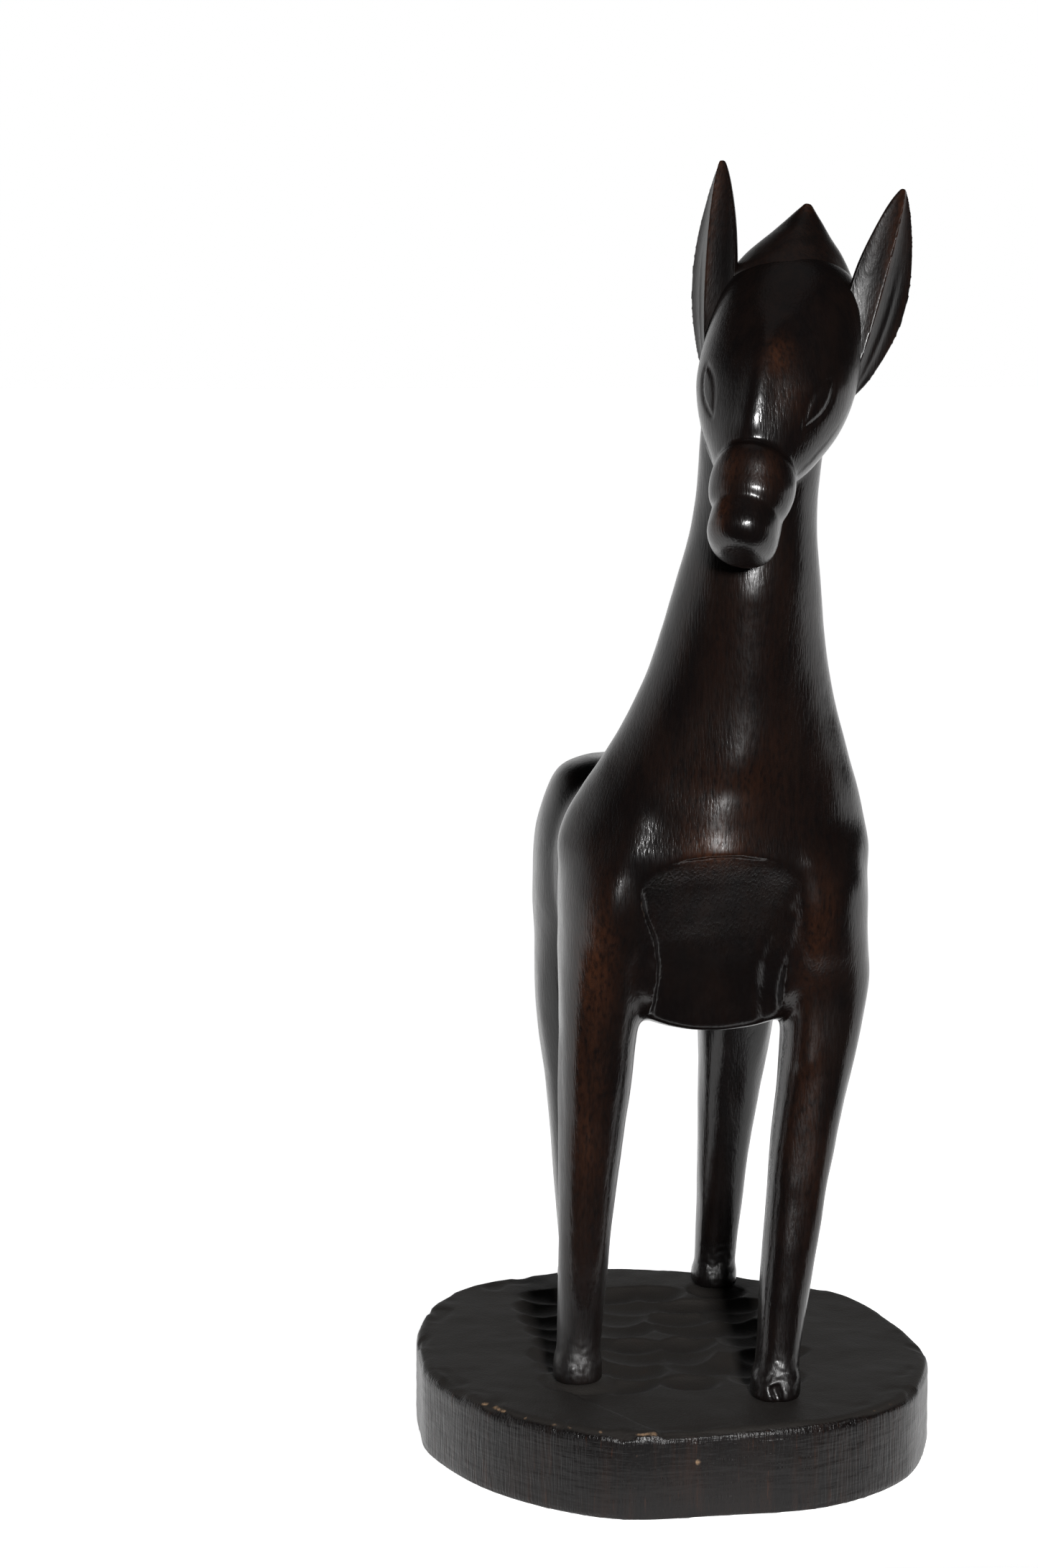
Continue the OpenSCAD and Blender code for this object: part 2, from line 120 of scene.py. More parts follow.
class Field:
    """A value that varies over a surface, with arithmetic."""

    def __init__(self, finish, socket):
        self.finish, self.socket = finish, socket

    def maths(self, operation, a, b):
        return self.finish.node("ShaderNodeMath", {0: a, 1: b}, operation=operation)

    def __add__(self, other):
        return self.maths("ADD", self, other)

    __radd__ = __add__

    def __sub__(self, other):
        return self.maths("SUBTRACT", self, other)

    def __rsub__(self, other):
        return self.maths("SUBTRACT", other, self)

    def __mul__(self, other):
        return self.maths("MULTIPLY", self, other)

    def upto(self, low, high):
        """0 below low, 1 above high, smooth between."""
        return self.finish.node(
            "ShaderNodeMapRange", {"Value": self, "From Min": low, "From Max": high},
            interpolation_type="SMOOTHSTEP",
        )


class Finish:
    """The nodes of one material, or of the world."""

    def __init__(self, owner, coordinates="Object"):
        owner.use_nodes = True
        self.owner, self.tree = owner, owner.node_tree
        self.tree.nodes.clear()
        self.place = self.node("ShaderNodeTexCoord", out=coordinates)

    def node(self, kind, sockets=None, out=0, **settings):
        made = self.tree.nodes.new(kind)
        for key, value in settings.items():
            setattr(made, key, value)
        for key, value in (sockets or {}).items():
            if isinstance(value, Field):
                self.tree.links.new(value.socket, made.inputs[key])
            else:
                made.inputs[key].default_value = value
        return Field(self, made.outputs[out]) if len(made.outputs) else None

    def stretched(self, x, y, z):
        return self.node("ShaderNodeVectorMath", {0: self.place, 1: (x, y, z)}, operation="MULTIPLY")

    def towards(self, way):
        """How far a direction points the given way."""
        return self.node("ShaderNodeVectorMath", {0: self.place, 1: way}, "Value", operation="DOT_PRODUCT")

    def grain(self, per_metre, stretch=(1, 1, 1), detail=3.0, rough=0.5):
        """Noise that is long in the directions whose stretch is small."""
        return self.node("ShaderNodeTexNoise", {
            "Vector": self.stretched(*stretch), "Scale": per_metre, "Detail": detail, "Roughness": rough,
        })

    def painted(self, name):
        return self.node("ShaderNodeAttribute", out="Fac", attribute_name=name)

    def mixed(self, share, a, b):
        return self.node("ShaderNodeMix", {0: share, 6: a, 7: b}, out=2, data_type="RGBA")

    def bump(self, height, depth, strength, under=None):
        sockets = {"Height": height, "Distance": depth, "Strength": strength}
        if under is not None:
            sockets["Normal"] = under
        return self.node("ShaderNodeBump", sockets)

    def close(self, colour, roughness, normal, specular=0.5, glow=0.0):
        shader = self.node("ShaderNodeBsdfPrincipled", {
            "Base Color": colour, "Roughness": roughness, "Normal": normal,
            "Specular IOR Level": specular, "Emission Strength": glow,
        })
        self.node("ShaderNodeOutputMaterial", {"Surface": shader})
        return self.owner


BLACK_BROWN = (0.0028, 0.0022, 0.0022, 1)
DEEP_BROWN = (0.0048, 0.0031, 0.0027, 1)
RED_BROWN = (0.042, 0.015, 0.007, 1)
# Lighter grey-brown for the plinth's top: partly dust, partly a painted reflection of the backdrop.
DUST_AND_REFLECTION_BROWN = (0.022, 0.0195, 0.0175, 1)
# Pale raw wood for chips and scratches, also used as a painted highlight along the left crease of the chest.
RAW_WOOD_AND_HIGHLIGHT = (0.30, 0.19, 0.11, 1)
PEG_DARK, PEG_PALE = (0.20, 0.11, 0.05, 1), (0.38, 0.25, 0.14, 1)
FLOOR_DARK, FLOOR_PALE = (0.80, 0.80, 0.80, 1), (0.84, 0.84, 0.84, 1)


def carved_wood(name):
    """Dark stained hardwood with its fibres upright, waxed and rubbed through in places."""
    f = Finish(bpy.data.materials.new(name))
    worn, pale, matte = f.painted("worn"), f.painted("pale"), f.painted("matte")
    cloud = f.grain(70, detail=4)
    streak = f.grain(420, (1, 1, 0.12), detail=5, rough=0.6)
    pore = f.grain(2300, (1, 1, 0.16), detail=2, rough=0.55)
    fleck = f.grain(1500, (1, 1, 0.35), detail=2)
    brown = f.mixed((cloud * 0.6 + streak * 0.4).upto(0.42, 0.62), BLACK_BROWN, DEEP_BROWN)
    rubbed = worn * (0.35 + streak * 0.9).upto(0.35, 1.0) * (0.3 + fleck).upto(0.45, 0.95)
    colour = f.mixed(rubbed, brown, RED_BROWN)
    # The pale marks are chips and scratches, and along the left crease of the chest also a painted
    # highlight.
    pale_marks = (pale * (0.45 + fleck * 1.1)).upto(0.35, 0.8)
    colour = f.mixed(pale_marks, colour, RAW_WOOD_AND_HIGHLIGHT)
    rough = 0.16 + matte * 0.30 + pale_marks * 0.35 + cloud * 0.12 + (pore - 0.5) * 0.16
    fibres = f.bump(pore.upto(0.30, 0.62) * 0.7 + streak * 0.5, 0.00011, 0.24)
    ripples = f.bump(f.grain(160, detail=3), 0.0004, 0.15, fibres)
    cuts = f.bump(pale_marks, -0.0002, 0.6, ripples)
    return f.close(colour, rough, cuts, specular=0.42)


def plinth_wood(name):
    """The same stain on a rougher slab: upright grain on its wall, knife ripples and open pores."""
    f = Finish(bpy.data.materials.new(name))
    worn, pale, matte = f.painted("worn"), f.painted("pale"), f.painted("matte")
    cloud = f.grain(60, detail=4)
    streak = f.grain(500, (1, 1, 0.07), detail=5, rough=0.65)
    pore = f.grain(2100, (1, 1, 0.07), detail=2, rough=0.5)
    chatter = f.grain(520, (0.35, 0.35, 2.2), detail=3)
    fleck = f.grain(1300, (1, 1, 0.5), detail=2)
    brown = f.mixed((cloud * 0.5 + streak * 0.5).upto(0.42, 0.64), BLACK_BROWN, DEEP_BROWN)
    # The top is painted a lighter grey-brown: partly dust, partly a painted reflection of the bright
    # backdrop.
    brown = f.mixed(matte * (0.6 + cloud * 0.6), brown, DUST_AND_REFLECTION_BROWN)
    wall = 1 - matte
    slit = wall * pore.upto(0.64, 0.74)
    colour = f.mixed(slit * 0.55 * streak.upto(0.40, 0.66), brown, RED_BROWN)
    colour = f.mixed(worn * streak.upto(0.45, 0.75) * 0.8, colour, RED_BROWN)
    pale_marks = (pale * (0.4 + fleck * 1.1)).upto(0.35, 0.85)
    colour = f.mixed(pale_marks, colour, RAW_WOOD_AND_HIGHLIGHT)
    rough = 0.28 + matte * 0.28 + pale_marks * 0.3 + cloud * 0.12
    fibres = f.bump(pore.upto(0.30, 0.68) * (0.35 + wall * 0.65) + streak * 0.4, 0.00013, 0.7)
    ripples = f.bump(chatter, 0.0005, 0.35, fibres)
    cuts = f.bump(pale_marks, -0.0002, 0.6, ripples)
    return f.close(colour, rough, cuts, specular=0.24)


def peg_wood(name):
    """Plain turned hardwood."""
    f = Finish(bpy.data.materials.new(name))
    streak = f.grain(800, (1, 1, 0.08), detail=4)
    pore = f.grain(2600, (1, 1, 0.1), detail=2)
    colour = f.mixed(streak.upto(0.35, 0.65), PEG_DARK, PEG_PALE)
    return f.close(colour, 0.6 + streak * 0.15, f.bump(pore, 0.00008, 0.6))


def floor_paint(name):
    """Matt white, lit from inside by a steady glow."""
    f = Finish(bpy.data.materials.new(name))
    tone = f.grain(3, detail=2)
    colour = f.mixed(tone, FLOOR_DARK, FLOOR_PALE)
    return f.close(colour, 0.8 + tone * 0.1, f.bump(tone, 0.0001, 0.1), glow=FLOOR_GLOW)


# ---------------------------------------------------------------- shapes


def curve(a, b, c, d, t):
    """Catmull-Rom curve through four stations."""
    return 0.5 * (2 * b + (c - a) * t + (2 * a - 5 * b + 4 * c - d) * t * t
                  + (3 * b - a - 3 * c + d) * t ** 3)


def filled(stations, steps=10):
    """The stations with smooth steps put in between them."""
    s = np.array(stations, float)
    rows = []
    for i in range(len(s) - 1):
        a, d = s[max(i - 1, 0)], s[min(i + 2, len(s) - 1)]
        rows += [curve(a, s[i], s[i + 1], d, k / steps) for k in range(steps)]
    return np.array(rows + [s[-1]])


def section(s, sides, upright=False):
    """One closed section of a station: x, y, z, half width, half depth, exponent.

    The exponent is 1 for an ellipse, less for a squarer section and more for a diamond.
    """
    angle = np.linspace(0, 2 * np.pi, sides, endpoint=False)
    c, n = np.cos(angle), np.sin(angle)
    u = s[3] * np.sign(c) * np.abs(c) ** s[5]
    v = s[4] * np.sign(n) * np.abs(n) ** s[5]
    zero = np.zeros(sides)
    offset = [u, zero, v] if upright else [u, v, zero]
    return np.array(s[:3]) + np.stack(offset, 1)


def skin(rings):
    """A closed skin over sections that have the same number of points."""
    n = len(rings[0])
    points = np.concatenate(rings)
    faces = [tuple(range(n))[::-1], tuple((len(rings) - 1) * n + i for i in range(n))]
    for j in range(len(rings) - 1):
        for i in range(n):
            a, b = j * n + i, j * n + (i + 1) % n
            faces.append((a, b, b + n, a + n))
    return points, faces


def carve(stations, upright=False, sides=64):
    """A closed shell through the stations, each a section as above."""
    return skin([section(s, sides, upright) for s in filled(stations)])


def cut_block(levels):
    """A four-sided cutter: each level is z, low x, high x, low y, high y."""
    return skin([
        np.array([(x0, y0, z), (x1, y0, z), (x1, y1, z), (x0, y1, z)], float)
        for z, x0, x1, y0, y1 in sorted(levels)
    ])


def slab(size, at, turn=(0, 0, 0)):
    """A plain cutter block, turned and then placed by its middle."""
    x, y, z = np.array(size) / 2
    points, faces = cut_block([(-z, -x, x, -y, y), (z, -x, x, -y, y)])
    return points @ turned(*turn).T + np.array(at), faces


def turned(rx, ry, rz):
    """A turn by three angles in degrees, about x, then y, then z."""
    m = Matrix.Rotation(math.radians(rz), 3, "Z") @ Matrix.Rotation(math.radians(ry), 3, "Y")
    return np.array(m @ Matrix.Rotation(math.radians(rx), 3, "X"))


def joined(shells):
    """One mesh of several closed shells, still overlapping."""
    points, faces, start = [], [], 0
    for p, f in shells:
        points.append(p)
        faces += [tuple(start + i for i in face) for face in f]
        start += len(p)
    mesh = bpy.data.meshes.new("rough")
    mesh.from_pydata(np.concatenate(points).tolist(), [], faces)
    mesh.validate()
    return mesh


def linked(data, name="rough"):
    """A new object of the scene that shows the given mesh, light or camera."""
    made = bpy.data.objects.new(name, data)
    bpy.context.scene.collection.objects.link(made)
    return made


def worked(mesh, kind, **settings):
    """The mesh after one modifier."""
    blank = linked(mesh)
    modifier = blank.modifiers.new(kind, kind)
    for key, value in settings.items():
        setattr(modifier, key, value)
    result = bpy.data.meshes.new_from_object(
        blank.evaluated_get(bpy.context.evaluated_depsgraph_get()))
    bpy.data.objects.remove(blank)
    bpy.data.meshes.remove(mesh)
    return result


def fused(mesh, voxel):
    """Overlapping shells made into one closed skin."""
    return worked(mesh, "REMESH", mode="VOXEL", voxel_size=voxel)


def cut_away(mesh, cutters):
    """The mesh with each cutter taken out in turn."""
    for cutter_mesh in cutters:
        cutter = linked(cutter_mesh, "cutter")
        mesh = worked(mesh, "BOOLEAN", operation="DIFFERENCE", object=cutter, solver="MANIFOLD")
        bpy.data.objects.remove(cutter)
    return mesh


def thinned(mesh, triangles):
    """The mesh with at most about this many triangles."""
    mesh.calc_loop_triangles()
    share = triangles / max(len(mesh.loop_triangles), 1)
    return worked(mesh, "DECIMATE", ratio=share) if share < 1 else mesh


def per_point(mesh, what):
    flat = np.empty(len(mesh.vertices) * 3, np.float32)
    mesh.vertices.foreach_get(what, flat)
    return flat.reshape(-1, 3).astype(float)


def positions(mesh):
    return per_point(mesh, "co")


def directions(mesh):
    return per_point(mesh, "normal")


def push_out(mesh, lift):
    """Moves each point outwards by its own lift in millimetres."""
    set_positions(mesh, positions(mesh) + directions(mesh) * lift[:, None])


def set_positions(mesh, points):
    mesh.vertices.foreach_set("co", points.astype(np.float32).ravel())
    mesh.update()


def soften(mesh, rounds, amount=None, keep=True):
    """Rubs the surface smooth. amount holds 0 to 1 for each point; keep holds the volume."""
    points = positions(mesh)
    edges = np.empty(len(mesh.edges) * 2, np.int32)
    mesh.edges.foreach_get("vertices", edges)
    a, b = edges.reshape(-1, 2).T
    count = np.bincount(a, minlength=len(points)) + np.bincount(b, minlength=len(points))
    count = np.maximum(count, 1)[:, None]
    share = 1.0 if amount is None else amount[:, None]
    for turn in range(rounds):
        near = np.stack([
            np.bincount(a, points[b, k], len(points)) + np.bincount(b, points[a, k], len(points))
            for k in range(3)
        ], 1) / count
        push = (0.5, -0.52)[turn % 2] if keep else 0.5
        points = points + (near - points) * push * share
    set_positions(mesh, points)


def ease(v, low, high):
    """0 below low, 1 above high, smooth between."""
    t = np.clip((v - low) / (high - low), 0, 1)
    return t * t * (3 - 2 * t)


def waves(points, scale, stretch=(1, 1, 1), seed=0.0):
    """Smooth random heights from -1 to 1 at each point; scale is the size of a wave in millimetres."""
    at = points * np.array(stretch) / scale + seed
    return np.array([noise.noise(Vector(p)) for p in at])


def spot(points, at, size):
    """1 at a place, fading to 0 over the given half sizes."""
    gap = (points - np.array(at)) / np.array(size)
    return np.exp(-(gap ** 2).sum(1))


def near_line(points, path, reach):
    """1 on a line through the given places, fading to 0 over reach."""
    best = np.full(len(points), 1e9)
    path = np.array(path, float)
    for a, b in zip(path[:-1], path[1:]):
        run = b - a
        t = np.clip(((points - a) @ run) / (run @ run), 0, 1)
        best = np.minimum(best, np.linalg.norm(points - (a + t[:, None] * run), axis=1))
    return np.exp(-(best / reach) ** 2)


def paint(mesh, name, values):
    layer = mesh.attributes.new(name, "FLOAT", "POINT")
    layer.data.foreach_set("value", np.clip(values, 0, 1).astype(np.float32))


def piece(name, mesh, finish, slot, *nodes):
    """A finished piece: back to metres, smooth shaded, riding on the frame in place of its nodes."""
    set_positions(mesh, positions(mesh) * MM)
    mesh.name = name
    mesh.materials.clear()
    mesh.materials.append(finish)
    mesh.shade_smooth()
    made = linked(mesh, name)
    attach(made, "root")
    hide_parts(*nodes)


# ---------------------------------------------------------------- sizes of the statue

BLANK_STEP, BLOCK_STEP, FIGURE_STEP = (0.75, 0.6, 0.46) if FINE else (1.3, 1.1, 0.95)
EAR_STEP = CREST_STEP = 0.28 if FINE else 0.5
SLAB_STEP, SCOOP_STEP, PLINTH_STEP = (0.8, 0.5, 0.52) if FINE else (1.4, 0.9, 1.0)
FIGURE_TRIANGLES, PLINTH_TRIANGLES, EAR_TRIANGLES, CREST_TRIANGLES = 190000, 170000, 36000, 30000

PLINTH_T = 19.2
BELLY_Z = 95.7
BARREL_H = 51.5
BARREL_Z = BELLY_Z + BARREL_H / 2
BACK_Z = BELLY_Z + BARREL_H
BARREL_W, SHOULDER_W, HAUNCH_W = 53.0, 67.0, 58.0
SHOULDER_X, HAUNCH_X = 5.5, 1.5
SHOULDER_Y, HAUNCH_Y = -27.0, 39.0
CHEST_R = 20.5
NECK_H, NECK_W, NECK_LEAN, NECK_SWAY, MANE_H = 89.0, 25.0, 17.0, 8.0, 2.2
HEAD_W, HEAD_D, SKULL_L = 32.5, 31.0, 54.0
MUZZLE_W, MUZZLE_L, LIP_W, LIP_L = 17.0, 11.0, 14.0, 13.0
HEAD_AT = np.array([15.0, -48.0, 236.2])
HEAD_TURN = turned(-33, 6.5, -20)
POLL_Z = SKULL_L * 0.48
MUZZLE_Z = -SKULL_L * 0.42 - MUZZLE_L / 2
LIPS_Z = MUZZLE_Z - (MUZZLE_L + LIP_L) / 2 + 3.2
EAR_LEAN, EAR_SPLAY, EAR_TURN, EAR_W, EAR_T = 20.0, 7.0, 42.0, 15.0, 6.0
ANKLE_W, THIGH_W = 9.6, 18.0
FEET = {
    "front_left": (18.0, -38.5), "front_right": (-23.0, -23.5),
    "hind_left": (16.5, 46.0), "hind_right": (-15.5, 48.0),
}


def from_head(points):
    """From the head's own axes to the statue's."""
    return np.array(points, float) @ HEAD_TURN.T + HEAD_AT


def to_head(points):
    return (points - HEAD_AT) @ HEAD_TURN


def on_head(shell):
    return from_head(shell[0]), shell[1]


# ---------------------------------------------------------------- the carved block


def neck_at(t, k):
    """A station of the neck: t runs from the shoulders to the head, k from slim to shoulder width."""
    return (
        SHOULDER_X + NECK_SWAY * max(t, 0) ** 0.55, SHOULDER_Y - NECK_LEAN * t, BACK_Z + NECK_H * t,
        (NECK_W + (SHOULDER_W - NECK_W) * k) / 2, NECK_W / 2 + (CHEST_R - NECK_W / 2) * k, 1,
    )


def trunk_shell():
    mid, w, h = (SHOULDER_X + HAUNCH_X) / 2, BARREL_W / 2, BARREL_H / 2
    return carve([
        (HAUNCH_X, HAUNCH_Y + 19, BARREL_Z + 4, w * 0.3, h * 0.4, 0.82),
        (HAUNCH_X, HAUNCH_Y + 15, BARREL_Z + 4, w * 0.72, h * 0.78, 0.82),
        (HAUNCH_X, HAUNCH_Y, BARREL_Z + 3, w * 0.98, h * 0.97, 0.82),
        (mid, HAUNCH_Y - 22, BARREL_Z, w, h, 0.82),
        (mid, SHOULDER_Y + 14, BARREL_Z, w, h, 0.82),
        (SHOULDER_X, SHOULDER_Y - 4, BARREL_Z + 1, w * 0.95, h * 0.98, 0.82),
        (SHOULDER_X, SHOULDER_Y - 11, BARREL_Z + 2, w * 0.8, h * 0.86, 0.82),
        (SHOULDER_X, SHOULDER_Y - 14, BARREL_Z + 3, w * 0.5, h * 0.6, 0.82),
    ], upright=True)


def neck_shell():
    return carve([
        (SHOULDER_X, SHOULDER_Y + 2, BELLY_Z + 4, SHOULDER_W * 0.2, CHEST_R * 0.4, 1),
        (SHOULDER_X, SHOULDER_Y + 1, BARREL_Z - 12, SHOULDER_W * 0.34, CHEST_R * 0.62, 1),
        (SHOULDER_X, SHOULDER_Y, BARREL_Z + 3, SHOULDER_W * 0.46, CHEST_R * 0.88, 1),
        (SHOULDER_X, SHOULDER_Y, BARREL_Z + 14, SHOULDER_W * 0.5, CHEST_R, 1),
        neck_at(-0.06, 0.95), neck_at(0.03, 0.8), neck_at(0.14, 0.58), neck_at(0.3, 0.32),
        neck_at(0.54, 0.1), neck_at(0.7, 0.01), neck_at(0.86, 0.02), neck_at(0.98, 0.02),
    ])


def mane_shell():
    rows = []
    for t, k in ((0, 0.72), (0.25, 0.38), (0.5, 0.1), (0.75, 0), (1, 0)):
        s = neck_at(t, k)
        rows.append((s[0], s[1] + s[4] - 1, s[2], 1.6 + 1.2 * (1 - t), 1 + MANE_H, 1))
    return carve(rows, sides=32)


def leg_shell(foot, top, plate):
    """A tapering leg from foot to top, and the stations of the muscle plate above it."""
    def at(t, a, b, soft=0.78):
        return (foot[0] + (top[0] - foot[0]) * t ** 1.2, foot[1] + (top[1] - foot[1]) * t,
                PLINTH_T + (top[2] - PLINTH_T) * t, a, b, soft)

    a, w = ANKLE_W / 2, THIGH_W / 2
    return carve([
        at(0, a * 1.12, a * 1.4), at(0.05, a * 1.1, a * 1.35), at(0.1, a, a * 1.15),
        at(0.35, a + (w - a) * 0.18, a + (w - a) * 0.4),
        at(0.65, a + (w - a) * 0.5, a + (w - a) * 0.75), at(1, w, w * 1.25, 0.82),
    ] + plate, sides=56)


def front_leg_shell(foot, side):
    x = SHOULDER_X + side * SHOULDER_W / 2
    return leg_shell(foot, (x - side * (THIGH_W / 2 + 0.5), SHOULDER_Y, BELLY_Z + 8), [
        (x - side * 12, SHOULDER_Y + 1, BELLY_Z + 22, 11.5, 16, 0.84),
        (x - side * 14, SHOULDER_Y + 2, BARREL_Z + 8, 13.5, 19, 0.88),
        (x - side * 15, SHOULDER_Y + 3, BARREL_Z + 20, 12, 15, 0.9),
        (x - side * 16, SHOULDER_Y + 3, BACK_Z - 1, 8, 8, 0.9),
    ])


def hind_leg_shell(foot, side):
    x = HAUNCH_X + side * HAUNCH_W / 2
    return leg_shell(foot, (x - side * (THIGH_W / 2 + 1), HAUNCH_Y + 2, BELLY_Z - 8), [
        (x - side * 11.5, HAUNCH_Y + 1, BELLY_Z + 9, 11, 14, 0.84),
        (x - side * 14, HAUNCH_Y, BARREL_Z - 4, 14, 18, 0.86),
        (x - side * 14.5, HAUNCH_Y + 1, BARREL_Z + 10, 13.5, 17.5, 0.88),
        (x - side * 16, HAUNCH_Y + 2, BARREL_Z + 22, 10.5, 13, 0.9),
        (x - side * 18, HAUNCH_Y + 2, BACK_Z, 5, 6, 0.9),
    ])


def tail_shell():
    back = HAUNCH_Y + 19
    return carve([
        (HAUNCH_X, back - 3, BELLY_Z + 2, 1.6, 2.3, 1), (HAUNCH_X, back + 0.5, BELLY_Z + 12, 2.6, 2.9, 1),
        (HAUNCH_X, back + 1, BARREL_Z + 2, 2.1, 2.6, 1), (HAUNCH_X, back - 1.5, BARREL_Z + 14, 2.6, 2.9, 1),
        (HAUNCH_X, back - 8, BACK_Z - 4, 2.9, 2.9, 1),
    ], sides=32)


def skull_shell():
    w, d, l = HEAD_W / 2, HEAD_D / 2, SKULL_L
    return on_head(carve([
        (0, 0, -l * 0.52, w * 0.38, d * 0.42, 1), (0, 0, -l * 0.45, w * 0.47, d * 0.53, 1),
        (0, 0, -l * 0.32, w * 0.72, d * 0.76, 1), (0, 0, -l * 0.15, w * 0.94, d * 0.95, 1),
        (0, 0, l * 0.02, w, d, 1), (0, 0, l * 0.2, w * 0.98, d * 0.96, 1),
        (0, 0, l * 0.33, w * 0.89, d * 0.85, 1), (0, 0, l * 0.42, w * 0.7, d * 0.66, 1),
        (0, 0, POLL_Z, w * 0.34, d * 0.34, 1),
    ]))


def muzzle_shells():
    """A rounded ring with boxier lips below it. Rows: height, width, depth, exponent."""
    r, m, l = MUZZLE_W / 2, MUZZLE_L / 2, LIP_L / 2
    a, b = LIP_W / 2, LIP_W / 2 + 2
    ring = carve([(0.8, -2, MUZZLE_Z + m * z, *row) for z, *row in (
        (-1, r * 0.76, r * 0.80, 0.95), (-0.7, r * 0.92, r * 0.95, 0.97), (-0.2, r, r + 0.4, 1),
        (0.3, r, r + 1.2, 1), (0.8, r * 0.94, r + 1.2, 1), (1.15, r * 0.8, r * 0.9, 1),
    )])
    lips = carve([(0.8, -0.1, LIPS_Z + l * z, a * wide, b * deep, e) for z, wide, deep, e in (
        (-0.88, 0.12, 0.14, 1), (-0.82, 0.5, 0.52, 0.95), (-0.64, 0.78, 0.8, 0.9),
        (-0.36, 0.96, 0.95, 0.88), (0, 1, 1, 0.88), (0.6, 0.99, 0.98, 0.88), (1, 0.9, 0.9, 0.9),
    )])
    return [on_head(ring), on_head(lips)]


def chest_cutters():
    """The scooped panel under the chest, leaning back as it goes down, and the shallower strip beside it."""
    out = -90
    panel = cut_block([
        (140, -6, 18, out, -48.6), (136, -11.2, 21.8, out, -46.2), (131, -12.2, 22.2, out, -43.6),
        (125, -11, 19.8, out, -40.8), (118.5, -8.4, 16.2, out, -38.0), (113, -7.6, 14.6, out, -36.0),
        (108, -7.8, 14.4, out, -34.4), (103, -8.4, 14.6, out, -33.2), (96, -9.4, 15.2, out, -32),
        (86, -10.4, 16, out, -31),
    ])
    flank = cut_block([
        (131, 14, 22.4, out, -44.8), (125, 13, 21.8, out, -42.4), (118.5, 11, 20.6, out, -39.8),
        (112, 10, 19.2, out, -37.4), (106, 10, 18.6, out, -35.4), (99, 12, 18.8, out, -33.8),
        (88, 14, 19.8, out, -32.4),
    ])
    return [panel, flank]


def hoof_cutters():
    """A flat beside each toe, and the split of the one hoof that has it."""
    cuts = []
    for name, (x, y) in FEET.items():
        toe = y - ANKLE_W / 2 * 1.4
        if name == "front_left":
            cuts.append(slab((1.8, 2.7, 8), (x + 0.4, toe - 0.2, PLINTH_T + 0.3), (-24, 0, 45)))
        cuts.append(slab((7, 3, 9), (x - 4.6, toe - 0.9, PLINTH_T + 4.6), (12, 6, -24)))
    return cuts


def mouth_cutters():
    """Flat knife cuts at the lower corners of the lips."""
    cuts = []
    for side, reach in ((-1, 7.3), (1, 7.5)):
        facing = Vector((side * 0.72, -0.32, -0.62)).normalized()
        lean = np.array(facing.to_track_quat("Z", "Y").to_matrix())
        points, faces = slab((16, 16, 6), (0, 0, reach + 3))
        points = points @ lean.T + np.array([0.8, -0.5, LIPS_Z])
        cuts.append(on_head((points, faces)))
    return cuts


EYE_BEARING, EYE_RADIUS, EYE_Z, EYE_LEAN = 54, 15.5, -10.5, 8
EYE_HALF_LENGTH, EYE_HALF_WIDTH = 5.8, 2.4


def carve_eyes(mesh):
    """Almond eyes in relief, each inside a knife-cut groove."""
    local = to_head(positions(mesh))
    around = np.degrees(np.arctan2(local[:, 0], -local[:, 1]))
    face = (local[:, 2] > -26) & (local[:, 2] < 6) & (np.hypot(local[:, 0], local[:, 1]) < 20)
    lift = np.zeros(len(local))
    lean = math.radians(EYE_LEAN)
    for side in (-1, 1):
        s = (around * side - EYE_BEARING) * math.radians(1) * EYE_RADIUS
        t = local[:, 2] - EYE_Z
        along = t * math.cos(lean) + s * math.sin(lean)
        across = s * math.cos(lean) - t * math.sin(lean)
        inside = 1 - (along / EYE_HALF_LENGTH) ** 2 - np.abs(across) / EYE_HALF_WIDTH
        groove = np.exp(-((inside + 0.02) / 0.26) ** 2) * ease(EYE_HALF_LENGTH + 0.8 - np.abs(along), 0, 1.5)
        cut = -(0.14 + 0.26 * ease(across, -2, 2)) * groove
        lift += np.where(face, cut + 0.10 * ease(inside, 0.05, 0.6), 0)
    push_out(mesh, lift)


def shape_front(mesh):
    """The ridge down the nose, the cheeks, the keel down the chest, leg ridges and pitted hooves."""
    p, n = positions(mesh), directions(mesh)
    local = to_head(p)
    x, y, z = local.T
    face = (y < 0) * ease(z, -25, -17) * (1 - ease(z, -4, 8)) * (np.hypot(x, y) < 20)
    nose = 1.15 * np.exp(-((x + 0.4) / 2.9) ** 2)
    cheeks = 0.30 * np.exp(-((np.abs(x) - 8.5) / 4.5) ** 2)
    lift = face * (nose - cheeks)
    front = ease(-p[:, 1], 25, 34) * (1 - ease(p[:, 2], 190, 205))
    keel = 5 + 5.5 * ease(p[:, 2], 143, 165)
    above = ease(p[:, 2], 128, 143) * ease(n[:, 2], -0.35, -0.08)
    lift += front * above * 1.7 * np.exp(-((p[:, 0] - keel) / 8.5) ** 2)
    lift -= front * 0.5 * spot(p, (6.5, -47, 151), (13, 12, 3.8))
    flat = p * np.array([1, 0, 1])
    left_leg = [(24.2, 0, 134), (25, 0, 124), (24.6, 0, 110), (24, 0, 92)]
    right_leg = [(-13, 0, 143), (-15, 0, 136.5), (-17.2, 0, 130), (-18.4, 0, 120)]
    lift += front * 0.8 * near_line(flat, left_leg, 2.8)
    lift += front * 0.7 * near_line(flat, right_leg, 3.4)
    pits = waves(p, 1.0, seed=4.2) * 0.32
    for foot in FEET.values():
        lift += pits * spot(p, (foot[0], foot[1] - 6.5, PLINTH_T + 5.5), (4.6, 4, 4.8))
    push_out(mesh, lift)


